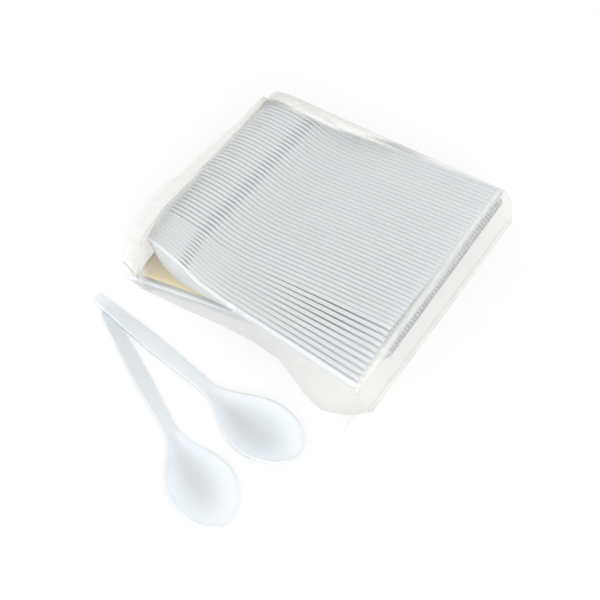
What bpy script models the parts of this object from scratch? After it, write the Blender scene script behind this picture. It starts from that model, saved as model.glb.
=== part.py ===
"""Pack of nested plastic spoons in a clear film bag, with two loose spoons beside it.

Metres, +Z up. The pack is laid out with X along the spoons and Y across the rows.
At the end everything is shifted so that the origin is the middle of the base.
"""
import math

import bmesh
import bpy
from mathutils import Matrix, Vector

MM = 0.001

# One spoon
SPOON_LENGTH = 153.5 * MM
BOWL_LENGTH = 64.0 * MM
WIDEST_TO_TIP = 26.5 * MM
BOWL_WIDTH = 35.0 * MM
BOWL_DEPTH = 7.0 * MM
TIP_RISE = 6.0 * MM
NECK_WIDTH = 7.6 * MM
HANDLE_WIDTH = 9.4 * MM
END_WIDTH = 6.8 * MM
TIP_WIDTH = 5.0 * MM
WALL = 0.55 * MM
SIDE_DEPTH = 1.7 * MM
RIM_DEPTH = 0.65 * MM
STEEPEST_WALL = 0.36
BELLY_TO_WIDEST = 6.0 * MM
RISE_START = BOWL_LENGTH / 4.0

# Powers that shape the curves of a spoon, and the share its handle's end narrows by
FLARE_POWER = 1.46
TIP_POWER = 0.5
RISE_POWER = 0.9
BOWL_POWER = 2.4
END_ROUNDING = 0.75

# How the spoons are stacked
UPPER_COUNT = 50
LOWER_COUNT = 50
LOWER_GROUP = 10
LEAN = 20.0
FANNED_COUNT = 10
UPPER_BOWL_X = (-48.5 * MM, -53.2 * MM, -48.7 * MM)
UPPER_BOWL_Y = (-37.6 * MM, -13.8 * MM, 95.7 * MM)
UPPER_YAW = (-9.2, -1.8, -0.6)
LOWER_PITCH = 2.64 * MM
LOWER_BOWL_X = 36.0 * MM
FRONT_LOWER_BACK = 4.8 * MM
LOWER_BOWL_Y = -28.6 * MM
LOWER_YAW = (5.2, 0.5)
CLEARANCE = 0.35 * MM
GROOVE_DEPTH = 2.5 * MM
GROOVE_MOST = 0.4

# The slip of paper between the layers
SLIP_SIZE = (60.0 * MM, 76.0 * MM)
SLIP_THICKNESS = 0.3 * MM
SLIP_FRONT = -36.0 * MM
SLIP_LEFT = -86.0 * MM

# The film bag
FILM = 0.3 * MM
FILM_EASE = 0.8 * MM
MOUTH_X = -104.0 * MM
MOUTH_HEIGHT = 8.0 * MM
MOUTH_GAP = 3.0 * MM
MOUTH_FRONT = -26.0 * MM
MOUTH_BACK = 118.0 * MM
END_BULGE = 3.0 * MM
END_SHRINK = 0.86
EDGE_STEP = 3.0 * MM
RING_SHARES = (0.0, 0.05, 0.18, 0.34, 0.5, 0.66, 0.78, 0.87, 0.93, 1.0)
WRAP_ANGLES = (-12.0, 28.0, 62.0, 90.0, 118.0, 152.0, 192.0)
UNDER_SHARES = (0.33, 0.67)

# The loose spoons, each by its handle end, heading and the height of that end
LOOSE_RIGHT_END = (-94.6 * MM, -59.3 * MM)
LOOSE_RIGHT_HEADING = -10.7
LOOSE_LEFT_END = (-85.3 * MM, -63.6 * MM)
LOOSE_LEFT_HEADING = -29.9
LOOSE_GAP = 0.7 * MM
LOOSE_OVER = SIDE_DEPTH + LOOSE_GAP
SHARP_ANGLE = 50.0

SPOON_WHITE = (0.80, 0.83, 0.86, 1.0)
FILM_CLEAR = (0.93, 0.93, 0.90, 0.3)
SLIP_YELLOW = (0.86, 0.72, 0.38, 1.0)

NECK_AT = SPOON_LENGTH - BOWL_LENGTH
WIDEST_AT = SPOON_LENGTH - WIDEST_TO_TIP
BOWL_CENTRE_AT = WIDEST_AT - BELLY_TO_WIDEST

# Stations along a spoon, from 0 at the neck to 1 at the tip, and across it
PACK_HANDLE = (0.0, 0.05, 0.5)
PACK_BOWL = (0.0, 0.3, 0.58, 0.83, 1.0)
PACK_ACROSS = (-1.0, -0.5, 0.0, 0.5, 1.0)
LOOSE_HANDLE = (0.0, 0.012, 0.04, 0.15, 0.4, 0.7, 0.9)
LOOSE_BOWL = (0.0, 0.1, 0.2, 0.32, 0.45, 0.58, 0.7, 0.8, 0.88, 0.94, 0.98, 1.0)
LOOSE_ACROSS = (-1.0, -0.88, -0.6, -0.3, 0.0, 0.3, 0.6, 0.88, 1.0)


def clear_scene():
    for old in list(bpy.data.objects):
        bpy.data.objects.remove(old)


def plain_material(name, colour, roughness):
    material = bpy.data.materials.new(name)
    material.use_nodes = True
    shader = material.node_tree.nodes["Principled BSDF"]
    shader.inputs["Base Color"].default_value = colour
    shader.inputs["Roughness"].default_value = roughness
    shader.inputs["Metallic"].default_value = 0.0
    shader.inputs["Alpha"].default_value = colour[3]
    return material


def add_object(name, mesh, material, collection):
    mesh.materials.append(material)
    piece = bpy.data.objects.new(name, mesh)
    collection.objects.link(piece)
    return piece


def blend(low, high, share):
    """Go smoothly from low to high as share goes from 0 to 1."""
    share = min(max(share, 0.0), 1.0)
    share = share * share * (3.0 - 2.0 * share)
    return low + (high - low) * share


def half_width(along):
    """Half of the spoon's width, a distance along it from the handle's end."""
    if along <= NECK_AT:
        handle = along / NECK_AT
        if handle < 0.5:
            half = blend(END_WIDTH, HANDLE_WIDTH, handle * 2.0) / 2.0
        else:
            half = blend(HANDLE_WIDTH, NECK_WIDTH, handle * 2.0 - 1.0) / 2.0
        end_radius = END_WIDTH / 2.0
        if along < end_radius:
            inset = (end_radius - along) / end_radius
            half *= math.sqrt(1.0 - END_ROUNDING * inset * inset)
        return half
    if along <= WIDEST_AT:
        share = (along - NECK_AT) / (WIDEST_AT - NECK_AT)
        flare = math.sin(share * math.pi / 2.0) ** FLARE_POWER
        return (NECK_WIDTH + (BOWL_WIDTH - NECK_WIDTH) * flare) / 2.0
    share = (along - WIDEST_AT) / WIDEST_TO_TIP
    oval = max(1.0 - share * share, 0.0) ** TIP_POWER
    return max(BOWL_WIDTH * oval, TIP_WIDTH) / 2.0


def rim_line(along):
    """Height of the rim over the handle: the bowl is turned up towards its tip."""
    start = NECK_AT + RISE_START
    share = max((along - start) / (SPOON_LENGTH - start), 0.0)
    return TIP_RISE * share ** RISE_POWER


def bowl_drop(along):
    """Depth of the bowl under its rim line."""
    if along <= NECK_AT:
        return 0.0
    share = (along - NECK_AT) / BOWL_LENGTH
    full = 1.0 - abs(2.0 * share - 1.0) ** BOWL_POWER
    return min(BOWL_DEPTH * full, STEEPEST_WALL * half_width(along))


def edge_depth(along):
    """Depth of the turned-down side, which fades to a plain rim at the widest point."""
    fade = (along - (NECK_AT + WIDEST_AT) / 2.0) / (WIDEST_AT - NECK_AT) * 2.0
    return blend(SIDE_DEPTH, RIM_DEPTH, fade)


def section(along, across):
    """Inner (hollow) and outer (back) points of a cross-section, each from one rim to the other."""
    half = half_width(along)
    drop = bowl_drop(along)
    inner = []
    outer = []
    for share in across:
        slope = 2.0 * drop * share / half
        height = rim_line(along) - drop * (1.0 - share * share)
        thick = WALL * math.sqrt(1.0 + slope * slope)
        if abs(share) == 1.0:
            thick = edge_depth(along)
        point = Vector((along - BOWL_CENTRE_AT, share * half, height))
        inner.append(point)
        outer.append(point - Vector((0.0, 0.0, thick)))
    return inner, outer


def stations(handle_shares, bowl_shares):
    handle = [share * NECK_AT for share in handle_shares]
    return handle + [NECK_AT + share * BOWL_LENGTH for share in bowl_shares]


def mesh_from_rings(name, rings, capped=(True, True)):
    """Join closed rings of equal length with four-sided faces, and cap the ends."""
    shell = bmesh.new()
    loops = [[shell.verts.new(point) for point in ring] for ring in rings]
    for ring, after in zip(loops, loops[1:]):
        for index in range(len(ring)):
            following = (index + 1) % len(ring)
            shell.faces.new((ring[index], ring[following], after[following], after[index]))
    for loop, cap in zip((loops[0], loops[-1]), capped):
        if cap:
            shell.faces.new(loop)
    bmesh.ops.recalc_face_normals(shell, faces=shell.faces)
    if shell.calc_volume(signed=True) < 0.0:
        bmesh.ops.reverse_faces(shell, faces=shell.faces)
    mesh = bpy.data.meshes.new(name)
    shell.to_mesh(mesh)
    shell.free()
    return mesh


def spoon_mesh(name, handle_shares, bowl_shares, across):
    """A spoon as one thin loft: hollow side up, tip towards +X, origin at the bowl's middle."""
    rings = []
    for along in stations(handle_shares, bowl_shares):
        inner, outer = section(along, across)
        rings.append(inner + outer[::-1])
    return mesh_from_rings(name, rings)


def standing_matrix(bowl, yaw, tilt, tip_left):
    """Stand a spoon on edge, hollow side to the back, leaning forward by LEAN."""
    yaw = math.radians(yaw)
    tilt = math.radians(tilt)
    rightward = Vector((math.cos(yaw) * math.cos(tilt), math.sin(yaw) * math.cos(tilt), math.sin(tilt)))
    towards_tip = -rightward if tip_left else rightward
    backward = Vector((0.0, 0.0, 1.0)).cross(rightward).normalized()
    upward = rightward.cross(backward)
    hollow = backward * math.cos(math.radians(LEAN)) + upward * math.sin(math.radians(LEAN))
    across = hollow.cross(towards_tip)
    turn = Matrix((towards_tip, across, hollow)).transposed().to_4x4()
    return Matrix.Translation(bowl) @ turn


def upright(half):
    """Height that a half width takes when it leans."""
    return half * math.cos(math.radians(LEAN))


def lower_tilt():
    """A lower spoon rests on its rim and on its handle's end."""
    rise = upright(BOWL_WIDTH / 2.0 - END_WIDTH / 2.0)
    return math.degrees(math.asin(rise / BOWL_CENTRE_AT))


def lower_bowl_height():
    return FILM + CLEARANCE + upright(BOWL_WIDTH / 2.0)


def lower_place(index):
    """Bowl's middle and yaw of a lower spoon. The front one has slipped to the left."""
    share = index / max(LOWER_COUNT - 1, 1)
    x = LOWER_BOWL_X - (FRONT_LOWER_BACK if index == 0 else 0.0)
    bowl = Vector((x, LOWER_BOWL_Y + index * LOWER_PITCH, lower_bowl_height()))
    return bowl, LOWER_YAW[0] + (LOWER_YAW[1] - LOWER_YAW[0]) * share


def lower_matrix(index):
    bowl, yaw = lower_place(index)
    return standing_matrix(bowl, yaw, lower_tilt(), tip_left=False)


def handle_top(x):
    """Height of the lower handles' top edge at a place along X."""
    slope = math.tan(math.radians(lower_tilt()))
    axis = lower_bowl_height() + (x - LOWER_BOWL_X) * slope
    return axis + upright(HANDLE_WIDTH / 2.0)


def upper_bowl_height():
    """The upper bowls lie on the slip, which lies on the lower handles."""
    under = handle_top(max(UPPER_BOWL_X)) + 2.0 * CLEARANCE + SLIP_THICKNESS
    return under + upright(BOWL_WIDTH / 2.0)


def overhang(height):
    """Height that a distance out of the rim plane adds when a spoon leans."""
    return height * math.sin(math.radians(LEAN))


def upper_tilt():
    """The upper handles lie on the lower bowls at their widest."""
    past_centre = WIDEST_AT - BOWL_CENTRE_AT
    top = lower_bowl_height() + past_centre * math.sin(math.radians(lower_tilt()))
    top += upright(BOWL_WIDTH / 2.0) + overhang(rim_line(WIDEST_AT)) + 2.0 * CLEARANCE
    handle = top + upright(HANDLE_WIDTH / 2.0) + overhang(SIDE_DEPTH)
    rise = handle - upper_bowl_height()
    return math.degrees(math.atan(rise / (LOWER_BOWL_X + past_centre - UPPER_BOWL_X[1])))


def three_way(values, index):
    """Value for an upper spoon: front one, first one behind the fanned group, rear one."""
    front, middle, rear = values
    if index < FANNED_COUNT:
        return middle + (front - middle) * (FANNED_COUNT - index) / FANNED_COUNT
    return middle + (rear - middle) * (index - FANNED_COUNT) / max(UPPER_COUNT - 1 - FANNED_COUNT, 1)


def upper_matrix(index):
    x = three_way(UPPER_BOWL_X, index)
    bowl = Vector((x, three_way(UPPER_BOWL_Y, index), upper_bowl_height()))
    return standing_matrix(bowl, three_way(UPPER_YAW, index), upper_tilt(), tip_left=True)


def add_upper_spoons(material, collection):
    """Fifty spoons on edge, tips to the left, each one a piece of its own."""
    shared = spoon_mesh("upper_spoon", PACK_HANDLE, PACK_BOWL, PACK_ACROSS)
    shared.materials.append(material)
    for index in range(UPPER_COUNT):
        spoon = bpy.data.objects.new(f"upper_spoon_{index + 1:02d}", shared)
        collection.objects.link(spoon)
        spoon.matrix_world = upper_matrix(index)


def nest_ring(along, matrices):
    """Outline of a nest of spoons at one station: two faces, and a ridge for each rim."""
    cuts = []
    for matrix in matrices:
        inner, outer = section(along, PACK_ACROSS)
        cuts.append(([matrix @ point for point in inner], [matrix @ point for point in outer]))
    edges = []
    for side in (-1, 0):
        ridge = []
        for number, (inner, outer) in enumerate(cuts):
            if number:
                before = cuts[number - 1][0]
                groove = (before[side] + outer[side]) / 2.0
                middle = (before[2] + outer[2]) / 2.0
                depth = min(GROOVE_DEPTH / max((groove - middle).length, MM), GROOVE_MOST)
                ridge.append(groove.lerp(middle, depth))
            if 0 < number < len(cuts) - 1:
                ridge.append((inner[side] + outer[side]) / 2.0)
        edges.append(ridge)
    front = cuts[0][1]
    back = cuts[-1][0]
    return front + edges[0] + back[::-1] + edges[1][::-1]


def add_lower_spoons(material, collection):
    """The lower layer, top to tail with the upper one, fused in groups of ten."""
    for group in range(LOWER_COUNT // LOWER_GROUP):
        first = group * LOWER_GROUP
        matrices = [lower_matrix(index) for index in range(first, first + LOWER_GROUP)]
        rings = [nest_ring(along, matrices) for along in stations(PACK_HANDLE, PACK_BOWL)]
        name = f"lower_spoons_{group + 1}"
        add_object(name, mesh_from_rings(name, rings), material, collection)


def add_paper_slip(material, collection):
    """A plain strip of paper that lies on the lower handles."""
    length, depth = SLIP_SIZE
    bpy.ops.mesh.primitive_cube_add(size=1.0)
    slip = bpy.context.object
    slip.name = "paper_slip"
    slip.data.transform(Matrix.Diagonal((length, depth, SLIP_THICKNESS, 1.0)))
    slip.data.materials.append(material)
    middle_x = SLIP_LEFT + length / 2.0
    height = handle_top(middle_x) + CLEARANCE + SLIP_THICKNESS / 2.0
    slip.location = (middle_x, SLIP_FRONT + depth / 2.0, height)
    slip.rotation_euler = (0.0, -math.radians(lower_tilt()), math.radians(LOWER_YAW[0]))
    for owner in list(slip.users_collection):
        owner.objects.unlink(slip)
    collection.objects.link(slip)


def corners_of(pieces):
    """Every corner of some pieces, in world space."""
    bpy.context.view_layer.update()
    return [piece.matrix_world @ corner.co for piece in pieces for corner in piece.data.vertices]


def edge_points(pieces):
    """Points along every edge of some pieces, in world space."""
    bpy.context.view_layer.update()
    points = []
    for piece in pieces:
        corners = [piece.matrix_world @ corner.co for corner in piece.data.vertices]
        for edge in piece.data.edges:
            start, end = (corners[index] for index in edge.vertices)
            steps = max(math.ceil(abs(end.x - start.x) / EDGE_STEP), 1)
            points += [start.lerp(end, step / steps) for step in range(steps + 1)]
    return points


def wrap_ring(x, points, reach, directions):
    """Ring at x that wraps the points within reach: tangent lines in turn, cut off at the ground."""
    near = [point for point in points if abs(point.x - x) <= reach]
    lines = []
    for angle in directions:
        normal = Vector((math.cos(angle), math.sin(angle)))
        far = max(normal.x * point.y + normal.y * point.z for point in near)
        lines.append((normal, far + FILM + FILM_EASE))
    ring = []
    for (normal, far), (after, after_far) in zip(lines, lines[1:]):
        turn = normal.x * after.y - normal.y * after.x
        y = (far * after.y - after_far * normal.y) / turn
        z = (normal.x * after_far - after.x * far) / turn
        ring.append(Vector((x, y, max(z, 0.0))))
    (back, back_far), (front, front_far) = lines[0], lines[-1]
    ring.insert(0, Vector((x, back_far / back.x, 0.0)))
    ring.append(Vector((x, front_far / front.x, 0.0)))
    return ring + [ring[-1].lerp(ring[0], share) for share in UNDER_SHARES]


def film_rings(contents):
    """Rings of the bag from its closed right end to its open mouth on the left."""
    points = edge_points(contents)
    left = min(point.x for point in points) - FILM - FILM_EASE
    right = max(point.x for point in points) + FILM + FILM_EASE
    places = [right + (left - right) * share for share in RING_SHARES]
    directions = [math.radians(angle) for angle in WRAP_ANGLES]
    rings = []
    for number, x in enumerate(places):
        beside = places[max(number - 1, 0):number + 2]
        reach = max(abs(x - other) for other in beside) + EDGE_STEP
        rings.append(wrap_ring(x, points, reach, directions))
    middle = sum(rings[0], Vector()) / len(rings[0])
    cap = [middle.lerp(point, END_SHRINK) + Vector((END_BULGE, 0.0, 0.0)) for point in rings[0]]
    return [cap] + rings


def mouth_ring(count):
    """The bag's flat mouth: the same number of points, squeezed to a slit."""
    ring = []
    upper = count - 2
    for index in range(upper):
        share = index / (upper - 1)
        y = MOUTH_BACK + (MOUTH_FRONT - MOUTH_BACK) * share
        ring.append(Vector((MOUTH_X, y, MOUTH_HEIGHT + MOUTH_GAP * math.sin(share * math.pi) ** 0.5)))
    for share in UNDER_SHARES:
        y = MOUTH_FRONT + (MOUTH_BACK - MOUTH_FRONT) * share
        ring.append(Vector((MOUTH_X, y, MOUTH_HEIGHT)))
    return ring


def add_film_bag(material, collection, contents):
    rings = film_rings(contents)
    mouth = mouth_ring(len(rings[0]))
    halfway = [end.lerp(slit, 0.5) for end, slit in zip(rings[-1], mouth)]
    mesh = mesh_from_rings("film_bag", rings + [halfway, mouth], (True, False))
    bag = add_object("film_bag", mesh, material, collection)
    wall = bag.modifiers.new("film", 'SOLIDIFY')
    wall.thickness = FILM
    wall.offset = -1.0


def lying_matrix(end, heading, end_height, mesh):
    """Lay a spoon face up on its bowl, with its handle's end at a height."""
    ends = [corner.co for corner in mesh.vertices]
    heel = min(ends, key=lambda point: (point.x, point.z))
    tilt = 0.0
    for _ in range(20):
        turned = Matrix.Rotation(-tilt, 3, 'Y')
        belly = min((turned @ point for point in ends), key=lambda point: point.z)
        fall = (turned @ heel).z - belly.z - end_height
        tilt += fall / (belly.x - heel.x)
    lift = -belly.z
    turn = Matrix.Rotation(math.radians(heading), 4, 'Z') @ Matrix.Rotation(-tilt, 4, 'Y')
    start = turn @ heel
    return Matrix.Translation((end[0] - start.x, end[1] - start.y, lift)) @ turn


def add_loose_spoons(material, collection):
    """Two spoons taken out of the pack: the right one's end lies on the left one's."""
    right = (LOOSE_RIGHT_END, LOOSE_RIGHT_HEADING, LOOSE_OVER)
    left = (LOOSE_LEFT_END, LOOSE_LEFT_HEADING, 0.0)
    for number, (end, heading, height) in enumerate((right, left)):
        name = f"loose_spoon_{number + 1}"
        mesh = spoon_mesh(name, LOOSE_HANDLE, LOOSE_BOWL, LOOSE_ACROSS)
        spoon = add_object(name, mesh, material, collection)
        spoon.matrix_world = lying_matrix(end, heading, height, mesh)
        mesh.shade_smooth()
        mesh.set_sharp_from_angle(angle=math.radians(SHARP_ANGLE))


def centre_on_base(pieces):
    """Shift every piece so that the origin is the middle of the base."""
    corners = corners_of(pieces)
    low = Vector([min(corner[axis] for corner in corners) for axis in range(3)])
    high = Vector([max(corner[axis] for corner in corners) for axis in range(3)])
    shift = Vector(((low.x + high.x) / 2.0, (low.y + high.y) / 2.0, low.z))
    for piece in pieces:
        piece.matrix_world = Matrix.Translation(-shift) @ piece.matrix_world
    print("shift to the middle of the base, mm:", [round(value / MM, 3) for value in shift])


def build():
    clear_scene()
    collection = bpy.data.collections.new("plastic_spoon_pack")
    bpy.context.scene.collection.children.link(collection)
    spoon_plastic = plain_material("spoon_plastic", SPOON_WHITE, 0.35)
    film = plain_material("clear_film", FILM_CLEAR, 0.2)
    paper = plain_material("slip_paper", SLIP_YELLOW, 0.8)
    add_upper_spoons(spoon_plastic, collection)
    add_lower_spoons(spoon_plastic, collection)
    add_paper_slip(paper, collection)
    add_film_bag(film, collection, list(collection.objects))
    add_loose_spoons(spoon_plastic, collection)
    centre_on_base(list(collection.objects))


build()
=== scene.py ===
# %% [markdown]
# # A pack of plastic spoons in a clear film bag
#
# A hundred thin white spoons stand on edge in two layers, top to tail: the upper bowls are on the
# left and the lower bowls on the right. A clear film bag is drawn round them, and two spoons lie
# loose in front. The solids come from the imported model, and each is replaced here by a finer piece
# at the same place, because the real look is in thin edges, narrow gaps and film creases.

# %% Load the fixed frame and keep its box
import math

import bpy
import numpy as np
from mathutils import Matrix, Vector, noise


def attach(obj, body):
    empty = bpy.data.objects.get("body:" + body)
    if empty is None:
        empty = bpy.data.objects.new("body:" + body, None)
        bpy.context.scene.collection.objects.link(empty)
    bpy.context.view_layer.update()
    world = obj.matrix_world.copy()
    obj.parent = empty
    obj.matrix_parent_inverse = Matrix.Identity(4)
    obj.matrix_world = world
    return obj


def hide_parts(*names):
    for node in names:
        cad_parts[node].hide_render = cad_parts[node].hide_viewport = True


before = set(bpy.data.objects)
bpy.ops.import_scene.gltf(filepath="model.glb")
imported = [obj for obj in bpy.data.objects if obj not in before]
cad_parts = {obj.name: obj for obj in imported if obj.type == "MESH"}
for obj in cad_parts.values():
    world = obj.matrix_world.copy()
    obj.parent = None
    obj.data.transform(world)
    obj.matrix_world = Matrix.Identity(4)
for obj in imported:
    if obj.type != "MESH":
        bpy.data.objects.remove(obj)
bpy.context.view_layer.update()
MM = 0.001

# %% [markdown]
# ## Camera
# The picture is taken from high in front on the right, with a long lens. Its place was worked out
# from where known edges of the pack fall in the picture, so it is set as numbers and not by eye.

# %% Camera
PACK_ORIGIN = Vector((14.1, 15.171, 0.0)) * MM
CAMERA_PLACE = PACK_ORIGIN + Vector((238.1, -373.67, 588.3)) * MM
CAMERA_LENS = 79.56
SENSOR = 36.0

camera_data = bpy.data.cameras.new("photo_camera")
camera_data.lens = CAMERA_LENS
camera_data.sensor_width = SENSOR
camera = bpy.data.objects.new("photo_camera", camera_data)
camera.location = CAMERA_PLACE
camera.rotation_euler = (PACK_ORIGIN - CAMERA_PLACE).to_track_quat("-Z", "Y").to_euler()
bpy.context.scene.collection.objects.link(camera)
bpy.context.scene.camera = camera
print("camera stands", round((PACK_ORIGIN - CAMERA_PLACE).length / MM), "mm from the middle")

# %% [markdown]
# ## Two small helpers for materials
# Colours are written as sRGB hex, as a colour picker shows them, and one function turns them to the
# linear values that Blender mixes. The other adds any node with its settings and links in one call.
# A material also keeps one plain colour and roughness, which stand in wherever its nodes aren't read.

# %% Colour and node helpers
def linear(colour_hex):
    """Linear RGBA from an sRGB hex colour."""
    values = [int(colour_hex[place:place + 2], 16) / 255.0 for place in (1, 3, 5)]
    return [v / 12.92 if v <= 0.04045 else ((v + 0.055) / 1.055) ** 2.4 for v in values] + [1.0]


def add_node(tree, kind, settings=None, links=None):
    """Add a node, set its sockets or its own settings, and link outputs of other nodes into it."""
    node = tree.nodes.new(kind)
    for name, value in (settings or {}).items():
        if isinstance(name, int) or name in node.inputs:
            node.inputs[name].default_value = value
        else:
            setattr(node, name, value)
    for name, source in (links or {}).items():
        tree.links.new(source, node.inputs[name])
    return node


def new_material(name, colour_hex, roughness, ior):
    """A material with its Principled shader, ready for more nodes."""
    material = bpy.data.materials.new(name)
    material.use_nodes = True
    shader = material.node_tree.nodes["Principled BSDF"]
    shader.inputs["Base Color"].default_value = linear(colour_hex)
    shader.inputs["Roughness"].default_value = roughness
    shader.inputs["IOR"].default_value = ior
    return material, material.node_tree, shader


print("a mid grey, #808080, is", round(linear("#808080")[0], 3), "in linear light")

# %% [markdown]
# ## Spoon plastic
# Disposable spoons are injection moulded from polystyrene, filled white with a slightly blue cast.
# The steel mould leaves a satin skin with faint flow marks, longer along the spoon than across it,
# so the colour drifts a little over some 20 mm and a very shallow bump breaks up the highlights.
# The wall is so thin that light spreads a few millimetres inside it: subsurface scattering does that,
# and lights the narrow gaps between the spoons, which would be black in a hard plastic.

# %% Moulded white polystyrene
POLYSTYRENE_IOR = 1.59
FLOW_MARK = 20.0 * MM
FLOW_STRETCH = (0.35, 1.0, 1.0)
SKIN_GRAIN = 0.9 * MM
SKIN_DEPTH = 0.04 * MM
GLOW_SHARE = 0.85
GLOW_DEPTH = 3.0 * MM

spoon_plastic, tree, shader = new_material("moulded_white_polystyrene", "#E6EBF0", 0.34, POLYSTYRENE_IOR)
place = add_node(tree, "ShaderNodeTexCoord")
stretch = add_node(tree, "ShaderNodeMapping", {"Scale": FLOW_STRETCH}, {"Vector": place.outputs["Object"]})
flow = add_node(tree, "ShaderNodeTexNoise", {"Scale": 1.0 / FLOW_MARK, "Detail": 2.0},
                {"Vector": stretch.outputs["Vector"]})
tint = add_node(tree, "ShaderNodeValToRGB", links={"Fac": flow.outputs["Fac"]})
tint.color_ramp.elements[0].position = 0.3
tint.color_ramp.elements[0].color = linear("#E0E9F1")
tint.color_ramp.elements[1].position = 0.7
tint.color_ramp.elements[1].color = linear("#E6EDF4")
tree.links.new(tint.outputs["Color"], shader.inputs["Base Color"])
grain = add_node(tree, "ShaderNodeTexNoise", {"Scale": 1.0 / SKIN_GRAIN, "Detail": 2.0},
                 {"Vector": place.outputs["Object"]})
sheen = add_node(tree, "ShaderNodeMapRange", {"To Min": 0.28, "To Max": 0.42},
                 {"Value": grain.outputs["Fac"]})
tree.links.new(sheen.outputs["Result"], shader.inputs["Roughness"])
skin = add_node(tree, "ShaderNodeBump", {"Strength": 0.12, "Distance": SKIN_DEPTH},
                {"Height": grain.outputs["Fac"]})
tree.links.new(skin.outputs["Normal"], shader.inputs["Normal"])
shader.inputs["Subsurface Weight"].default_value = GLOW_SHARE
shader.inputs["Subsurface Radius"].default_value = (1.0, 1.0, 1.0)
shader.inputs["Subsurface Scale"].default_value = GLOW_DEPTH
print("made", spoon_plastic.name)

# %% [markdown]
# ## Bag film
# The bag is blown polypropylene film, about 0.03 mm thick. It is clear but not invisible: one layer
# veils what is under it with a warm grey, and a fold or crease doubles the veil and turns white. So
# the material is mostly see-through, and a value stored on the mesh thickens it where the film is
# creased or lies in several layers. The same value carries painted highlight: it turns the creases
# and two narrow bands along the folds white, where the glossy film would catch the lamps. Crinkles
# some 3.5 mm across make it a little uneven and ripple the highlights. The glossy skin of blown film
# gives it a low roughness.

# %% Blown clear film
POLYPROPYLENE_IOR = 1.49
CRINKLE = 3.5 * MM
RIPPLE_DEPTH = 0.2 * MM
FILM_CLEAREST = 0.15

bag_film, tree, shader = new_material("blown_clear_polypropylene", "#EDECE7", 0.22, POLYPROPYLENE_IOR)
place = add_node(tree, "ShaderNodeTexCoord")
veil_and_highlight = add_node(tree, "ShaderNodeAttribute", {"attribute_name": "veil_and_highlight"})
crinkle = add_node(tree, "ShaderNodeTexNoise", {"Scale": 1.0 / CRINKLE, "Detail": 3.0, "Distortion": 0.8},
                   {"Vector": place.outputs["Object"]})
uneven = add_node(tree, "ShaderNodeMapRange",
                  {"From Min": 0.35, "From Max": 0.7, "To Min": 0.9, "To Max": 1.1},
                  {"Value": crinkle.outputs["Fac"]})
uneven_veil_and_highlight = add_node(tree, "ShaderNodeMath", {"operation": "MULTIPLY"},
                 {0: veil_and_highlight.outputs["Fac"], 1: uneven.outputs["Result"]})
alpha = add_node(tree, "ShaderNodeMath", {"operation": "ADD", "use_clamp": True, 1: FILM_CLEAREST},
                 {0: uneven_veil_and_highlight.outputs["Value"]})
tree.links.new(alpha.outputs["Value"], shader.inputs["Alpha"])
# Painted highlight: a high value turns the film white at the creases and along the folds.
veil_and_highlight_colour = add_node(tree, "ShaderNodeValToRGB", links={"Fac": veil_and_highlight.outputs["Fac"]})
veil_and_highlight_colour.color_ramp.elements[0].color = linear("#E6E4DB")
veil_and_highlight_colour.color_ramp.elements[1].color = linear("#F6F7F6")
tree.links.new(veil_and_highlight_colour.outputs["Color"], shader.inputs["Base Color"])
ripple = add_node(tree, "ShaderNodeBump", {"Strength": 0.05, "Distance": RIPPLE_DEPTH},
                  {"Height": crinkle.outputs["Fac"]})
tree.links.new(ripple.outputs["Normal"], shader.inputs["Normal"])
print("made", bag_film.name)

# %% [markdown]
# ## Slip of paper
# A plain yellow slip lies between the layers. It is tinted uncoated paper: fibres a millimetre or
# two long make the colour uneven and the surface slightly rough, so it has no highlight at all.

# %% Tinted uncoated paper
PAPER_IOR = 1.5
PAPER_FIBRE = 1.4 * MM
FIBRE_DEPTH = 0.05 * MM

slip_paper, tree, shader = new_material("tinted_uncoated_paper", "#E9DAAE", 0.85, PAPER_IOR)
place = add_node(tree, "ShaderNodeTexCoord")
fibre = add_node(tree, "ShaderNodeTexNoise", {"Scale": 1.0 / PAPER_FIBRE, "Detail": 4.0},
                 {"Vector": place.outputs["Object"]})
tone = add_node(tree, "ShaderNodeValToRGB", links={"Fac": fibre.outputs["Fac"]})
tone.color_ramp.elements[0].color = linear("#E2CD93")
tone.color_ramp.elements[1].color = linear("#F0E6C6")
tree.links.new(tone.outputs["Color"], shader.inputs["Base Color"])
tooth = add_node(tree, "ShaderNodeBump", {"Strength": 0.3, "Distance": FIBRE_DEPTH},
                 {"Height": fibre.outputs["Fac"]})
tree.links.new(tooth.outputs["Normal"], shader.inputs["Normal"])
print("made", slip_paper.name)

# %% [markdown]
# ## The shape of one spoon
# All the spoons come from one mould. Seen from above, a slim handle flares into an oval bowl. The
# side of the handle is turned down into a skirt that stiffens it and fades away along the bowl, and
# the bowl has a narrow flat lip. The sizes and curves are those of the source part, so the fine
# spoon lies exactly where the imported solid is.

# %% Sizes of one spoon
SPOON_LENGTH = 153.5 * MM
BOWL_LENGTH = 64.0 * MM
WIDEST_TO_TIP = 26.5 * MM
BOWL_WIDTH = 35.0 * MM
BOWL_DEPTH = 7.0 * MM
TIP_RISE = 6.0 * MM
NECK_WIDTH = 7.6 * MM
HANDLE_WIDTH = 9.4 * MM
END_WIDTH = 6.8 * MM
WALL = 0.55 * MM
SIDE_DEPTH = 1.7 * MM
SKIRT = 0.6 * MM
SKIRT_SHARE = 0.4
LIP = 1.2 * MM
LIP_SHARE = 0.22
EDGE_ROUND = 0.18 * MM
STEEPEST_WALL = 0.36
BELLY_TO_WIDEST = 6.0 * MM
RISE_START = BOWL_LENGTH / 4.0
FLARE_POWER = 1.46
RISE_POWER = 0.9
BOWL_POWER = 2.4
END_ROUNDING = 0.75
TIP_FLAT = 0.6 * MM
NECK_AT = SPOON_LENGTH - BOWL_LENGTH
WIDEST_AT = SPOON_LENGTH - WIDEST_TO_TIP
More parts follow.
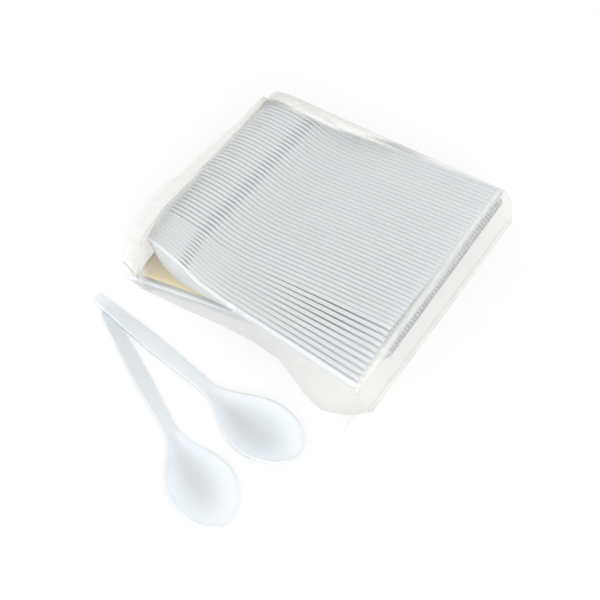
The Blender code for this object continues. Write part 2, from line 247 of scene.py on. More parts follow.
BOWL_CENTRE_AT = WIDEST_AT - BELLY_TO_WIDEST
SKIRT_DEPTH = 2.2 * MM
SKIRT_END = WIDEST_AT - 11.0 * MM
EDGE_DEPTHS = ((0.0, SKIRT_DEPTH), (SKIRT_END - 4.0 * MM, SKIRT_DEPTH), (SKIRT_END, 1.0 * MM),
               (SKIRT_END + 3.0 * MM, 2.1 * MM), (WIDEST_AT + 2.0 * MM, 2.1 * MM),
               (WIDEST_AT + 12.0 * MM, 2.0 * MM), (WIDEST_AT + 20.0 * MM, 1.85 * MM),
               (SPOON_LENGTH, 1.6 * MM))
print("neck at", round(NECK_AT / MM, 1), "mm, widest at", round(WIDEST_AT / MM, 1), "mm")

# %% [markdown]
# The outline of a spoon could be drawn by hand as a curve. Here a few short functions give the half
# width, the height of the rim and the depth of the bowl at any distance along it. They can be read
# at as many places as a close or a distant spoon needs, and they always describe the same mould.

# %% Curves of one spoon
def smooth(low, high, share):
    """Go smoothly from low to high as share goes from 0 to 1."""
    share = min(max(share, 0.0), 1.0)
    return low + (high - low) * share * share * (3.0 - 2.0 * share)


def half_width(along):
    """Half of the spoon's width, a distance along it from the handle's end."""
    if along <= NECK_AT:
        handle = along / NECK_AT * 2.0
        if handle < 1.0:
            half = smooth(END_WIDTH, HANDLE_WIDTH, handle) / 2.0
        else:
            half = smooth(HANDLE_WIDTH, NECK_WIDTH, handle - 1.0) / 2.0
        inset = max(1.0 - along / (END_WIDTH / 2.0), 0.0)
        return half * math.sqrt(1.0 - END_ROUNDING * inset * inset)
    if along <= WIDEST_AT:
        flare = math.sin((along - NECK_AT) / (WIDEST_AT - NECK_AT) * math.pi / 2.0) ** FLARE_POWER
        return (NECK_WIDTH + (BOWL_WIDTH - NECK_WIDTH) * flare) / 2.0
    share = (along - WIDEST_AT) / WIDEST_TO_TIP
    return max(BOWL_WIDTH / 2.0 * math.sqrt(max(1.0 - share * share, 0.0)), TIP_FLAT)


def rim_line(along):
    """Height of the rim over the handle: the bowl turns up towards its tip."""
    start = NECK_AT + RISE_START
    return TIP_RISE * max((along - start) / (SPOON_LENGTH - start), 0.0) ** RISE_POWER


def bowl_drop(along):
    """Depth of the bowl under its rim line."""
    if along <= NECK_AT:
        return 0.0
    full = 1.0 - abs(2.0 * (along - NECK_AT) / BOWL_LENGTH - 1.0) ** BOWL_POWER
    return min(BOWL_DEPTH * full, STEEPEST_WALL * half_width(along))


def edge_depth(along):
    """Depth of the turned-down side. It has a notch where the handle's skirt meets the bowl's rim."""
    return np.interp(along, *np.array(EDGE_DEPTHS).T)


print("half widths:", [round(half_width(a * MM) / MM, 2) for a in (0, 45, 89, 110, 127, 150)])

# %% [markdown]
# A spoon is lofted: a closed outline is worked out at many stations along it, and neighbouring
# outlines are joined with faces. That gives clean long faces that shade smoothly, where a sculpted
# or boolean shape would need repair. Stations crowd together where the outline turns fast.

# %% Loft one spoon
SHARP_EDGE = 50.0
END_CROWDING = 2.2


def spoon_outline(along, shares):
    """Closed outline at one station: top face, right skirt, back face, left skirt."""
    half = half_width(along)
    rim = rim_line(along)
    drop = bowl_drop(along)
    depth = edge_depth(along)
    flat = half - min(LIP, LIP_SHARE * half)
    skirt = min(SKIRT, half * SKIRT_SHARE)
    top = []
    back = []
    for share in shares:
        slope = 2.0 * drop * share / flat
        height = rim - drop * (1.0 - share * share)
        top.append((share * flat, height))
        back.append((share * (half - skirt - EDGE_ROUND), height - WALL * math.sqrt(1.0 + slope * slope)))
    side = [(half - EDGE_ROUND, rim), (half, rim - EDGE_ROUND), (half, rim - depth + EDGE_ROUND)]
    side += [(half - EDGE_ROUND, rim - depth), (half - skirt, rim - depth), (half - skirt, rim - WALL)]
    left = [(-y, z) for y, z in side]
    ring = left[1::-1] + top + side + back[::-1] + left[:1:-1]
    return [Vector((along - BOWL_CENTRE_AT, y, z)) for y, z in ring]


def spoon_stations(handle_steps, flare_steps, tip_steps):
    """Places along a spoon, closer together at the handle's end and at the tip."""
    handle = [NECK_AT * (step / handle_steps) ** END_CROWDING for step in range(handle_steps)]
    flare = [NECK_AT + (WIDEST_AT - NECK_AT) * step / flare_steps for step in range(flare_steps)]
    turns = [step / tip_steps * math.pi / 2.0 for step in range(tip_steps + 1)]
    return handle + flare + [WIDEST_AT + WIDEST_TO_TIP * math.sin(turn) for turn in turns]


def loft(rings):
    """Corner points and faces that join closed rings of equal length and cap both ends."""
    count = len(rings[0])
    points = [point for ring in rings for point in ring]
    faces = [tuple(range(count))[::-1]]
    for row in range(len(rings) - 1):
        for place in range(count):
            after = (place + 1) % count
            low, high = row * count, (row + 1) * count
            faces.append((low + place, low + after, high + after, high + place))
    faces.append(tuple(range(len(points) - count, len(points))))
    return points, faces


def mesh_of(name, points, faces, material):
    """A smooth-shaded mesh whose real edges stay sharp."""
    mesh = bpy.data.meshes.new(name)
    mesh.from_pydata(points, [], faces)
    mesh.materials.append(material)
    mesh.shade_smooth()
    mesh.set_sharp_from_angle(angle=math.radians(SHARP_EDGE))
    return mesh


PACK_SHARES = (-1.0, -0.92, -0.75, -0.45, 0.0, 0.45, 0.75, 0.92, 1.0)
pack_rings = [spoon_outline(along, PACK_SHARES) for along in spoon_stations(16, 12, 12)]
pack_points, pack_faces = loft(pack_rings)
print("one pack spoon:", len(pack_points), "points,", len(pack_faces), "faces")

# %% [markdown]
# ## Standing the spoons in rows
# Each spoon stands on edge with its hollow side to the back and leans a little, as nested spoons do.
# The upper row fans out over its first ten spoons. An array modifier would copy the spoons evenly,
# but here the turn and the spacing change along the row. The places repeat those of the packed
# solids, so that every fine spoon takes over one solid.

# %% Where the spoons stand
PACK_SHIFT = Matrix.Translation(PACK_ORIGIN)
UPPER_COUNT = 50
LOWER_COUNT = 50
LOWER_GROUP = 10
LEAN = math.radians(20.0)
FANNED_COUNT = 10
UPPER_BOWL_X = (-48.5 * MM, -53.2 * MM, -48.7 * MM)
UPPER_BOWL_Y = (-37.6 * MM, -13.8 * MM, 95.7 * MM)
UPPER_YAW = (-9.2, -1.8, -0.6)
LOWER_PITCH = 2.64 * MM
LOWER_BOWL_X = 36.0 * MM
FRONT_LOWER_BACK = 4.8 * MM
LOWER_BOWL_Y = -28.6 * MM
LOWER_YAW = (5.2, 0.5)
CLEARANCE = 0.35 * MM
FILM_WALL = 0.3 * MM
SLIP_WALL = 0.3 * MM

lower_tilt = math.asin((BOWL_WIDTH - END_WIDTH) / 2.0 * math.cos(LEAN) / BOWL_CENTRE_AT)
lower_height = FILM_WALL + CLEARANCE + BOWL_WIDTH / 2.0 * math.cos(LEAN)


def handle_top(x):
    """Height of the lower handles' top edge at a place along X."""
    axis = lower_height + (x - LOWER_BOWL_X) * math.tan(lower_tilt)
    return axis + HANDLE_WIDTH / 2.0 * math.cos(LEAN)


upper_height = handle_top(max(UPPER_BOWL_X)) + 2.0 * CLEARANCE + SLIP_WALL
upper_height += BOWL_WIDTH / 2.0 * math.cos(LEAN)
lower_top = lower_height + BELLY_TO_WIDEST * math.sin(lower_tilt) + BOWL_WIDTH / 2.0 * math.cos(LEAN)
lower_top += rim_line(WIDEST_AT) * math.sin(LEAN) + 2.0 * CLEARANCE
upper_rise = lower_top + HANDLE_WIDTH / 2.0 * math.cos(LEAN) + SIDE_DEPTH * math.sin(LEAN) - upper_height
upper_tilt = math.atan(upper_rise / (LOWER_BOWL_X + BELLY_TO_WIDEST - UPPER_BOWL_X[1]))
print("tilts:", round(math.degrees(lower_tilt), 2), round(math.degrees(upper_tilt), 2), "degrees")

# %% [markdown]
# A spoon could be copied and turned by hand a hundred times. One function builds the matrix instead:
# three directions, along the spoon, across it and out of its hollow, and the place of its bowl. The
# points of each mesh are moved to their place with it. Each upper spoon is a piece of its own, and
# the lower ones are ten to a piece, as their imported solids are.

# %% Matrices that stand a spoon in its row
def standing(bowl, yaw, tilt, tip_left):
    """Stand a spoon on edge with its bowl's middle at a point, hollow side to the back."""
    yaw = math.radians(yaw)
    flat = math.cos(tilt)
    rightward = Vector((math.cos(yaw) * flat, math.sin(yaw) * flat, math.sin(tilt)))
    towards_tip = -rightward if tip_left else rightward
    backward = Vector((0.0, 0.0, 1.0)).cross(rightward).normalized()
    hollow = backward * math.cos(LEAN) + rightward.cross(backward) * math.sin(LEAN)
    across = hollow.cross(towards_tip)
    turn = Matrix((towards_tip, across, hollow)).transposed().to_4x4()
    return PACK_SHIFT @ Matrix.Translation(bowl) @ turn


def along_row(values, index):
    """Value for an upper spoon between the front one, the first behind the fan, and the rear one."""
    front, middle, rear = values
    if index < FANNED_COUNT:
        return middle + (front - middle) * (FANNED_COUNT - index) / FANNED_COUNT
    return middle + (rear - middle) * (index - FANNED_COUNT) / (UPPER_COUNT - 1 - FANNED_COUNT)


def upper_matrix(index):
    bowl = Vector((along_row(UPPER_BOWL_X, index), along_row(UPPER_BOWL_Y, index), upper_height))
    return standing(bowl, along_row(UPPER_YAW, index), upper_tilt, tip_left=True)


def lower_matrix(index):
    x = LOWER_BOWL_X - (FRONT_LOWER_BACK if index == 0 else 0.0)
    bowl = Vector((x, LOWER_BOWL_Y + index * LOWER_PITCH, lower_height))
    yaw = LOWER_YAW[0] + (LOWER_YAW[1] - LOWER_YAW[0]) * index / (LOWER_COUNT - 1)
    return standing(bowl, yaw, lower_tilt, tip_left=False)


def add_piece(name, mesh, nodes):
    """Link a piece, let it ride with the pack, and let it stand for its CAD nodes."""
    piece = bpy.data.objects.new(name, mesh)
    bpy.context.scene.collection.objects.link(piece)
    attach(piece, "root")
    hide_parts(*nodes)
    return piece


for index in range(UPPER_COUNT):
    number = f"{index + 1:02d}"
    points = [upper_matrix(index) @ point for point in pack_points]
    mesh = mesh_of(f"spoon_upper_{number}", points, pack_faces, spoon_plastic)
    add_piece(f"spoon_upper_{number}", mesh, [f"upper_spoon_{number}"])

for group in range(LOWER_COUNT // LOWER_GROUP):
    points = []
    faces = []
    for index in range(group * LOWER_GROUP, (group + 1) * LOWER_GROUP):
        start = len(points)
        matrix = lower_matrix(index)
        points += [matrix @ point for point in pack_points]
        faces += [tuple(start + corner for corner in face) for face in pack_faces]
    mesh = mesh_of(f"spoons_lower_{group + 1}", points, faces, spoon_plastic)
    add_piece(f"spoons_lower_{group + 1}", mesh, [f"lower_spoons_{group + 1}"])
print("upper spoons:", UPPER_COUNT, "lower spoons:", LOWER_COUNT)

# %% [markdown]
# ## Two loose spoons
# These are seen from above at full size, so they get twice the stations and more points across. The
# right one's end lies on the left one's, so each is tipped about its bowl until its end is at the
# height that it needs.

# %% Loose spoons
LOOSE_SHARES = (-1.0, -0.97, -0.92, -0.84, -0.72, -0.55, -0.35, -0.15, 0.0,
                0.15, 0.35, 0.55, 0.72, 0.84, 0.92, 0.97, 1.0)
LOOSE_GAP = 0.7 * MM
TILT_ROUNDS = 20
# Name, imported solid, place of the handle's end, heading in degrees and height of that end.
LOOSE_SPOONS = (
    ("loose_spoon_right", "loose_spoon_1", (-94.6 * MM, -59.3 * MM), -10.7, SIDE_DEPTH + LOOSE_GAP),
    ("loose_spoon_left", "loose_spoon_2", (-85.3 * MM, -63.6 * MM), -29.9, 0.0),
)


def lying(end, heading, end_height, points):
    """Lay a spoon face up on its bowl, with its handle's end at a place and height."""
    heel = min(points, key=lambda point: (point.x, point.z))
    tilt = 0.0
    for _ in range(TILT_ROUNDS):
        turned = Matrix.Rotation(-tilt, 3, "Y")
        belly = min((turned @ point for point in points), key=lambda point: point.z)
        tilt += ((turned @ heel).z - belly.z - end_height) / (belly.x - heel.x)
    turn = Matrix.Rotation(math.radians(heading), 4, "Z") @ Matrix.Rotation(-tilt, 4, "Y")
    start = turn @ heel
    return PACK_SHIFT @ Matrix.Translation((end[0] - start.x, end[1] - start.y, -belly.z)) @ turn


for name, node, end, heading, height in LOOSE_SPOONS:
    rings = [spoon_outline(along, LOOSE_SHARES) for along in spoon_stations(34, 26, 24)]
    points, faces = loft(rings)
    matrix = lying(end, heading, height, points)
    mesh = mesh_of(name, [matrix @ point for point in points], faces, spoon_plastic)
    add_piece(name, mesh, [node])
    lowest = min((matrix @ point).z for point in points)
    print(name, "has", len(faces), "faces, lowest", round(lowest / MM, 3), "mm")

# %% [markdown]
# ## The slip of paper
# A thin sheet lies on the lower handles with a very slight wave. It is a grid of points raised by a
# low sine, and given its thickness by Solidify, which is simpler than two matching grids. A cloth
# simulation would add nothing to a sheet that is pressed flat.

# %% Paper slip
SLIP_LENGTH = 60.0 * MM
SLIP_DEPTH = 76.0 * MM
SLIP_FRONT = -36.0 * MM
SLIP_LEFT = -86.0 * MM
SLIP_GRID = 25
PAPER = 0.12 * MM
SLIP_WAVE = 0.12 * MM
WAVE_ALONG = 0.7
WAVE_ACROSS = 0.9


def slip_sheet():
    """Corner points and faces of the slip, in the pack's frame."""
    middle_x = SLIP_LEFT + SLIP_LENGTH / 2.0
    height = handle_top(middle_x) + CLEARANCE + SLIP_WALL / 2.0
    centre = Vector((middle_x, SLIP_FRONT + SLIP_DEPTH / 2.0, height))
    turn = Matrix.Rotation(math.radians(LOWER_YAW[0]), 4, "Z") @ Matrix.Rotation(-lower_tilt, 4, "Y")
    place = PACK_SHIFT @ Matrix.Translation(centre) @ turn
    points = []
    for row in range(SLIP_GRID):
        for column in range(SLIP_GRID):
            x = (column / (SLIP_GRID - 1) - 0.5) * SLIP_LENGTH
            y = (row / (SLIP_GRID - 1) - 0.5) * SLIP_DEPTH
            wave = SLIP_WAVE * math.sin(column * WAVE_ALONG + row * WAVE_ACROSS)
            points.append(place @ Vector((x, y, wave)))
    faces = []
    for row in range(SLIP_GRID - 1):
        for column in range(SLIP_GRID - 1):
            first = row * SLIP_GRID + column
            faces.append((first, first + 1, first + SLIP_GRID + 1, first + SLIP_GRID))
    return points, faces


slip_mesh = mesh_of("slip_of_paper", *slip_sheet(), slip_paper)
slip = add_piece("slip_of_paper", slip_mesh, ["paper_slip"])
thickness = slip.modifiers.new("paper", "SOLIDIFY")
thickness.thickness = PAPER
thickness.offset = 0.0
print("slip is", round(SLIP_LENGTH / MM), "by", round(SLIP_DEPTH / MM), "mm")

# %% [markdown]
# ## The film bag
# The bag is drawn tight over the spoons and stands away from them at the sides, so its shape follows
# from them. At many places along X, the points of the spoons near that place are wrapped by the
# tightest line that starts and ends at the bag's feet on the table. A cloth simulation could do
# this, but a hundred thin spoons to collide with are slow and leave the film trembling, and the
# wrapped lines give the drawn look at once.

# %% Tables of the bag's outline on the table, in mm in the pack's frame
FRONT_FOOT = ((-106, -30), (-98, -36), (-89, -40.5), (-74, -39.4), (-54, -38.9), (-28, -36.9), (-6, -36.6),
              (11, -38.5), (26, -45.3), (34, -49.5), (47, -53.8), (59, -49.5), (66, -43), (72, -38))
REAR_FOOT = ((-106, 121), (-90, 121), (-60, 119), (-20, 116), (20, 114), (64, 114), (72, 112))
RIGHT_TOP = ((-55, 71.5), (-10, 70.0), (20, 71.0), (60, 72.5), (97, 73.6), (125, 73.6))
RIGHT_FOOT = ((-50, 65), (-37, 69), (-15, 70), (0, 70), (37, 70.5), (60, 71), (92, 71.5),
              (120, 70.5))
MOUTH_EDGE = ((-40, -90), (-33, -99), (-14, -106), (0, -109.5), (20, -109), (35, -105), (68, -103),
              (108, -104), (122, -105))


def on_table(pairs, places):
    """Read a table of outline points at some places, in metres."""
    given, values = np.array(pairs, float).T * MM
    return np.interp(places, given, values)


print("front foot at x 0:", on_table(FRONT_FOOT, 0.0) / MM, "mm")

# %% [markdown]
# A tight line round some points is the edge of their convex outline. For each of 51 directions, the
# farthest point of the slice is found, and a large rectangle is cut back to it. Film in the open is
# also taut along the pack, so in the upward directions the reach is spanned straight over the dip
# between bowls and handles. Down the front the film hangs looser, and follows the spoons.

# %% Wrap the spoons
FILM_EASE = 0.7 * MM
SLICE_REACH = 4.5 * MM
RING_TOP = 120
RING_UNDER = 20
CONTENT_LEFT = -79.0 * MM
CONTENT_RIGHT = 69.0 * MM
MAIN_RINGS = 110
WRAP_ANGLES = np.radians(np.arange(215.0, -36.0, -5.0))
OUTWARD = np.stack([np.cos(WRAP_ANGLES), np.sin(WRAP_ANGLES)], axis=1)
TAUT_FROM = 0.2
TAUT_FULL = 0.6
FILM_REST = 0.1 * MM
FAR_OFF = 1.0
ON_TABLE = 1e-7


def spoon_points():
    """Points of all the spoons in the pack, in the pack's frame."""
    local = np.array(pack_points)
    matrices = [upper_matrix(index) for index in range(UPPER_COUNT)]
    matrices += [lower_matrix(index) for index in range(LOWER_COUNT)]
    shift = np.array(PACK_ORIGIN)
    clouds = []
    for matrix in matrices:
        turn = np.array(matrix)
        clouds.append(local @ turn[:3, :3].T + turn[:3, 3] - shift)
    return np.vstack(clouds)


def even_line(line, count):
    """The same line with points at even distances."""
    steps = np.linalg.norm(np.diff(line, axis=0), axis=1)
    distance = np.concatenate([[0.0], np.cumsum(steps)])
    places = np.linspace(0.0, distance[-1], count)
    return np.stack([np.interp(places, distance, line[:, axis]) for axis in range(2)], axis=1)


def support(near):
    """How far some points of a YZ slice reach in each of the wrap's directions."""
    return (near @ OUTWARD.T).max(axis=0) + FILM_EASE


def taut(places, reaches):
    """The tight line over values along X: their upper hull, read back at every place."""
    hull = []
    for place, reach in sorted(zip(places, reaches)):
        while len(hull) > 1:
            (x0, r0), (x1, r1) = hull[-2:]
            if (r1 - r0) * (place - x0) > (reach - r0) * (x1 - x0):
                break
            hull.pop()
        hull.append((place, reach))
    given, values = np.array(hull).T
    return np.interp(places, given, values)


def cut(outline, normal, far):
    """Cut a closed outline with a line and keep the side towards the middle."""
    kept = []
    for point, after in zip(outline, outline[1:] + outline[:1]):
        here = far - normal @ point
        there = far - normal @ after
        if here >= 0.0:
            kept.append(point)
        if here * there < 0.0:
            kept.append(point + (after - point) * here / (here - there))
    return kept


def wrapped_line(reaches):
    """The line round a slice that touches every reach, from the front foot to the rear foot."""
    corners = ((-FAR_OFF, FILM_REST), (-FAR_OFF, FAR_OFF), (FAR_OFF, FAR_OFF), (FAR_OFF, FILM_REST))
    outline = [np.array(corner) for corner in corners]
    for normal, far in zip(OUTWARD, reaches):
        outline = cut(outline, normal, far)
    feet = [number for number, point in enumerate(outline) if point[1] < FILM_REST + ON_TABLE]
    first = min(feet, key=lambda number: outline[number][0])
    return even_line(np.array(outline[first:] + outline[:first]), RING_TOP)


contents = spoon_points()
main_x = np.linspace(CONTENT_RIGHT, CONTENT_LEFT, MAIN_RINGS)
reaches = []
for x in main_x:
    near = contents[np.abs(contents[:, 0] - x) < SLICE_REACH][:, 1:]
    feet = [[on_table(FRONT_FOOT, x), 0.0], [on_table(REAR_FOOT, x), 0.0]]
    reaches.append(support(np.vstack([near, feet])))
reaches = np.array(reaches)
for number, normal in enumerate(OUTWARD):
    tight = smooth(0.0, 1.0, (normal[1] - TAUT_FROM) / (TAUT_FULL - TAUT_FROM))
    spanned = taut(main_x, reaches[:, number])
    reaches[:, number] += (spanned - reaches[:, number]) * tight
main_lines = np.array([wrapped_line(row) for row in reaches])
print("wrapped", len(main_lines), "slices, highest", round(main_lines[:, :, 1].max() / MM, 1), "mm")

# %% [markdown]
# The closed end is a wall from the handles' ends down to the table. At the open end the film runs on
# past the bowls as a flap: it falls from the last slice to a low arch at the mouth's edge. All of it
# is one grid, so that the film stays in one piece, and softening evens out its small steps.

# %% Close the right end and draw out the mouth
END_RINGS = 18
FLAP_RINGS = 28
MOUTH_LOW = 3.0 * MM
MOUTH_ARCH = 7.0 * MM
MOUTH_X = -104.0 * MM
EDGE_REACH = 30.0 * MM
MOUTH_SQUARENESS = 0.3
FLAP_FALL = 0.9
SOFTENING_PASSES = 6


def film_grid():
    """Rows of bag points over the top: right end, pack, flap. Each row runs from front to rear."""
    rows = []
    first = main_lines[0]
    for step in range(END_RINGS, 0, -1):
        share = step / END_RINGS
        y, z = first.T
        top = on_table(RIGHT_TOP, y)
        x = top + (on_table(RIGHT_FOOT, y) - top) * share
        low = FILM_REST + (z - FILM_REST) * (1.0 - share)
        rows.append(np.stack([x, y, low], axis=1))
    for x, line in zip(main_x, main_lines):
        y, z = line.T
        pull = smooth(0.0, 1.0, (x - CONTENT_RIGHT + EDGE_REACH) / EDGE_REACH)
        rows.append(np.stack([x + (on_table(RIGHT_TOP, y) - CONTENT_RIGHT) * pull, y, z], axis=1))
    last = main_lines[-1]
    shares = np.linspace(0.0, 1.0, RING_TOP)
    front, rear = on_table(FRONT_FOOT, MOUTH_X), on_table(REAR_FOOT, MOUTH_X)
    mouth_y = front + (rear - front) * shares
    arch = np.sin(shares * math.pi)
    mouth_z = MOUTH_LOW * arch ** MOUTH_SQUARENESS + MOUTH_ARCH * arch ** 2
    for step in range(1, FLAP_RINGS + 1):
        share = step / FLAP_RINGS
        y = last[:, 0] + (mouth_y - last[:, 0]) * smooth(0.0, 1.0, share)
        z = last[:, 1] + (mouth_z - last[:, 1]) * math.sin(share * math.pi / 2.0) ** FLAP_FALL
        x = CONTENT_LEFT + (on_table(MOUTH_EDGE, y) - CONTENT_LEFT) * share
        rows.append(np.stack([x, y, np.maximum(z, FILM_REST)], axis=1))
    return np.array(rows)


def soften(grid, passes):
    """Mix each inner point with an eighth of each neighbour, and keep the outer edges."""
    for _ in range(passes):
        inner = grid[1:-1, 1:-1]
        around = grid[:-2, 1:-1] + grid[2:, 1:-1] + grid[1:-1, :-2] + grid[1:-1, 2:]
        grid[1:-1, 1:-1] = inner * 0.5 + around * 0.125
    return grid


film = soften(film_grid(), SOFTENING_PASSES)
print("film grid:", film.shape)

# %% [markdown]
# Film never lies quite smooth. Where it is pulled over the spoons it shows only faint long creases;
# down the front, at the right end and on the flap it hangs free, and sharp creases run the way it
# is pulled. Ridged noise, which is a noise folded at zero, gives such straight sharp lines.

# %% Crease the film
FRONT_CREASE = 0.7 * MM
END_CREASE = 0.6 * MM
REAR_CREASE = 1.0 * MM
FLAP_CREASE = 1.2 * MM
TOP_CREASE = 0.12 * MM
# Spacing of the creases in mm, along and across the pull of the film.
TOP_SPACING = (55.0, 24.0)
FRONT_SPACING = (60.0, 18.0)
REAR_SPACING = (60.0, 20.0)
END_SPACING = (22.0, 60.0)
FLAP_SPACING = (40.0, 26.0)
SLANT = 80.0
FLAP_SLANT = 70.0
# Where the creases of each side set in, and over how many mm.
FRONT_UNDER, FRONT_FADE = 30.0, 12.0
REAR_FROM, REAR_FADE = 98.0, 10.0
FLAP_FROM, FLAP_FADE = -76.0, 12.0
FINER = 2.3


def outward_of(grid):
    """Unit normals of a grid of points, facing away from the pack."""
    along = np.gradient(grid, axis=0)
    across = np.gradient(grid, axis=1)
    normal = np.cross(across, along)
    normal /= np.maximum(np.linalg.norm(normal, axis=2, keepdims=True), 1e-9)
    if normal[len(grid) // 2, RING_TOP // 2, 2] < 0.0:
        normal = -normal
    return normal


def ridged(a, b, seed):
    """Sharp ridges from 0 to 1 over two coordinates."""
    value = 1.0 - abs(noise.noise(Vector((a, b, seed)))) * 2.0
    finer = 1.0 - abs(noise.noise(Vector((a * FINER, b * FINER, seed + 5.0)))) * 2.0
    return max(value, 0.0) ** 3 * 0.7 + max(finer, 0.0) ** 4 * 0.3


def crease_of(point, normal):
    """Height of the creases at a point of the film."""
    x, y, z = (value / MM for value in point)
    side = max(-normal[1], 0.0) * smooth(1.0, 0.0, (z - FRONT_UNDER) / FRONT_FADE)
    rear = smooth(0.0, 1.0, (y - REAR_FROM) / REAR_FADE)
    end = max(normal[0], 0.0) ** 2
    flap = smooth(0.0, 1.0, (FLAP_FROM - x) / FLAP_FADE)
    height = TOP_CREASE * ridged(x / TOP_SPACING[0], y / TOP_SPACING[1], 1.0)
    height += FRONT_CREASE * side * ridged(x / FRONT_SPACING[0], (z + y) / FRONT_SPACING[1], 2.0)
    height += REAR_CREASE * rear * ridged(x / REAR_SPACING[0] + y / SLANT, y / REAR_SPACING[1], 3.0)
    height += END_CREASE * end * ridged(y / END_SPACING[0], z / END_SPACING[1] + y / SLANT, 4.0)
    height += FLAP_CREASE * flap * ridged(x / FLAP_SPACING[0], y / FLAP_SPACING[1] + x / FLAP_SLANT, 6.0)
    return height


normals = outward_of(film)
heights = np.array([[crease_of(point, normal) for point, normal in zip(row, facing)]
                    for row, facing in zip(film, normals)])
creased = film + normals * heights[:, :, None]
creased[:, :, 2] = np.maximum(creased[:, :, 2], FILM_REST)
print("highest crease:", round(heights.max() / MM, 2), "mm")

# %% [markdown]
# Folded film is whiter than one layer. Behind a line at the rear, where the bag is folded over, and
# on the flap, it lies in several layers. A narrow band of painted highlight runs along that line and
# another along the handles' ends, where the folds would catch the lamps, and the creases are painted
# whiter, partly as painted highlight. Painting this by hand would be one way. A value worked out from
# each point's place does the same and can be changed in one line.

# %% How much the film veils, and where highlight is painted on it
REAR_FOLD = ((-90, 84), (-77, 84), (-55, 82), (-32, 81.7), (-23, 83.6), (6, 92), (30, 97))
ONE_LAYER = 0.03
UNDER_VEIL = 0.02
# Creases are painted whiter: partly doubled film, partly painted highlight.
CREASE_VEIL_AND_HIGHLIGHT = 0.1
DEEPEST_CREASE = 1.2
REAR_VEIL = 0.6
# Painted highlight: how much the narrow bands along the rear fold and the handles' ends are whitened.
FOLD_HIGHLIGHT = 0.3
END_FOLD_HIGHLIGHT = 0.45
END_FOLD_X, END_HIGHLIGHT_WIDTH = 70.5, 2.2
FLAP_VEIL = 0.3
CORNER_VEIL = 0.4


def fade(value, start, length):
    """0 before a place, going smoothly to 1 over a length; a negative length runs the other way."""
    return smooth(0.0, 1.0, (value - start) / length)


def band(value, middle, width):
    """1 in the middle of a band, fading to 0 at its width."""
    return smooth(1.0, 0.0, abs(value - middle) / width)


def veil_and_highlight_of(point, height):
    """Thickness of the veil, with painted highlight: creases, which are partly painted highlight, the
    folded layers at the rear, and bands of painted highlight along the rear fold and the handles' ends.
    """
    x, y, z = (value / MM for value in point)
    fold_y = np.interp(x, *np.array(REAR_FOLD, float).T)
    high = fade(z, 24.0, 8.0)
    behind = fade(y, fold_y, 3.0) * fade(x, 30.0, -30.0)
    # Painted highlight in a narrow band beside the rear fold.
    fold_highlight_band = band(y, fold_y + 1.5, 3.0) * fade(x, 30.0, -20.0) * fade(x, -66.0, 10.0)
    # Painted highlight along the handles' ends.
    end = band(x, END_FOLD_X, END_HIGHLIGHT_WIDTH) * fade(z, 36.0, 6.0)
    flap = fade(x, -80.0, -6.0)
    corner = fade(x, -70.0, -8.0) * fade(y, 32.0, -30.0)
    # Creases add painted highlight as well as doubled film.
    veil_and_highlight = ONE_LAYER + CREASE_VEIL_AND_HIGHLIGHT * min(height / MM, DEEPEST_CREASE)
    veil_and_highlight += REAR_VEIL * behind * high + FOLD_HIGHLIGHT * fold_highlight_band * high
    return veil_and_highlight + END_FOLD_HIGHLIGHT * end + FLAP_VEIL * flap + CORNER_VEIL * corner


veils_and_highlights = np.array([[veil_and_highlight_of(point, height) for point, height in zip(row, ridges)]
                  for row, ridges in zip(creased, heights)])
print("veil from", round(float(veils_and_highlights.min()), 2), "to", round(float(veils_and_highlights.max()), 2))

# %% [markdown]
# The bag also has an underside, a flat sheet on the table under the spoons. Each row of the creased
# top is closed with points along that sheet, so the mesh is one open sleeve with a mouth at its left.

# %% Put the bag together
def bag_mesh():
    """The bag's film: the creased top and the flat sheet under the spoons, joined at both feet."""
    rows = []
    for row in creased:
        front, rear = row[0], row[-1]
        shares = np.linspace(1.0, 0.0, RING_UNDER + 2)[1:-1]
        under = front + (rear - front) * shares[:, None]
        under[:, 2] = FILM_REST / 2.0
        rows.append(np.vstack([row, under]))
    grid = np.array(rows) + np.array(PACK_ORIGIN)
    count = grid.shape[1]
    faces = []
    for row in range(len(grid) - 1):
        for place in range(count):
            after = (place + 1) % count
            low, high = row * count, (row + 1) * count
            faces.append((low + place, low + after, high + after, high + place))
    mesh = bpy.data.meshes.new("bag_film")
    mesh.from_pydata(grid.reshape(-1, 3).tolist(), [], faces)
    mesh.materials.append(bag_film)
    mesh.shade_smooth()
    under_veil = np.full((len(veils_and_highlights), RING_UNDER), UNDER_VEIL)
    values = np.hstack([veils_and_highlights, under_veil]).astype(np.float32)
    mesh.attributes.new("veil_and_highlight", "FLOAT", "POINT").data.foreach_set("value", values.ravel())
    return mesh


bag = add_piece("bag_of_film", bag_mesh(), ["film_bag"])
print("bag:", len(bag.data.polygons), "faces")

# %% [markdown]
# ## Table
# The picture has a white ground with hardly any shadow. The floor shows mostly plain white to the
# camera and mixes in a little of its lit colour, which keeps a soft shadow. A shadow painted on a
# plane would be wrong from any other side.

# %% Table
FLOOR_SIZE = 6.0
FLOOR_DROP = 0.05 * MM
SHADOW_SHARE = 0.3

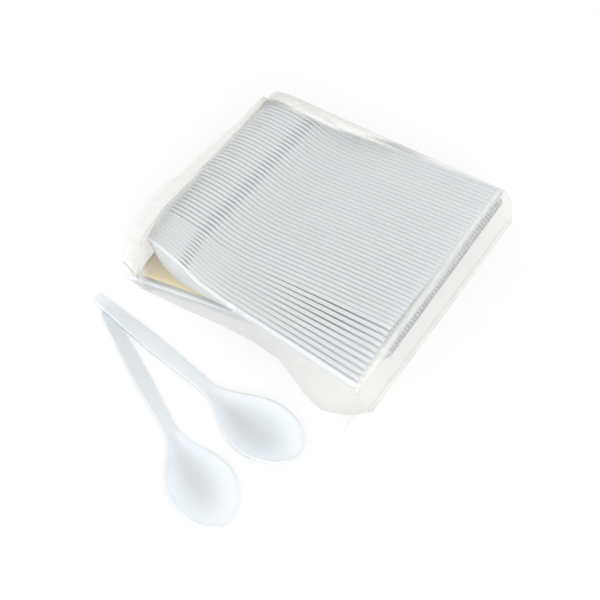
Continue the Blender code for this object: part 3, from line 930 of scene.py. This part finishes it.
floor_mesh = bpy.data.meshes.new("table_top")
side = FLOOR_SIZE / 2.0
corners = [(-side, -side, 0.0), (side, -side, 0.0), (side, side, 0.0), (-side, side, 0.0)]
floor_mesh.from_pydata(corners, [], [(0, 1, 2, 3)])
floor = bpy.data.objects.new("table_top", floor_mesh)
bpy.context.scene.collection.objects.link(floor)
floor.location.z = -FLOOR_DROP
floor_paint = bpy.data.materials.new("white_studio_board")
floor_paint.use_nodes = True
tree = floor_paint.node_tree
tree.nodes.clear()
board = add_node(tree, "ShaderNodeBsdfDiffuse", {"Color": linear("#F7F7F5")})
glow = add_node(tree, "ShaderNodeEmission", {"Color": (1.0, 1.0, 1.0, 1.0), "Strength": 1.0})
path = add_node(tree, "ShaderNodeLightPath")
seen = add_node(tree, "ShaderNodeMath", {"operation": "MULTIPLY", 1: 1.0 - SHADOW_SHARE},
                {0: path.outputs["Is Camera Ray"]})
mixed = add_node(tree, "ShaderNodeMixShader",
                 links={"Fac": seen.outputs["Value"], 1: board.outputs["BSDF"],
                        2: glow.outputs["Emission"]})
add_node(tree, "ShaderNodeOutputMaterial", links={"Surface": mixed.outputs["Shader"]})
floor_mesh.materials.append(floor_paint)
print("floor shows", SHADOW_SHARE, "of its lit colour")

# %% [markdown]
# A lamp the size of a large softbox stands high on the right in front, and a weaker one on the left
# keeps the flap from going dark. The white world fills in from all sides. It is a little dimmer than
# what the camera sees, so the pale plastic stays below pure white.

# %% Lamps and world
# Name, place in m, size in m and power in W.
LAMPS = (
    ("key", (0.75, -0.75, 0.95), 0.9, 10.5),
    ("fill", (-0.9, -0.3, 0.9), 1.2, 2.5),
)
WORLD_LIGHT = 0.8

for name, place, size, power in LAMPS:
    lamp_data = bpy.data.lights.new(name, "AREA")
    lamp_data.size = size
    lamp_data.energy = power
    lamp = bpy.data.objects.new(name, lamp_data)
    lamp.location = place
    lamp.rotation_euler = (PACK_ORIGIN - Vector(place)).to_track_quat("-Z", "Y").to_euler()
    bpy.context.scene.collection.objects.link(lamp)

world = bpy.data.worlds.new("white_room")
world.use_nodes = True
tree = world.node_tree
room = tree.nodes["Background"]
room.inputs["Color"].default_value = (1.0, 1.0, 1.0, 1.0)
path = add_node(tree, "ShaderNodeLightPath")
strength = add_node(tree, "ShaderNodeMath",
                    {"operation": "MULTIPLY_ADD", 1: 1.0 - WORLD_LIGHT, 2: WORLD_LIGHT},
                    {0: path.outputs["Is Camera Ray"]})
tree.links.new(strength.outputs["Value"], room.inputs["Strength"])
bpy.context.scene.world = world
bpy.context.scene.view_settings.view_transform = "Standard"
print("lamps:", len(LAMPS))
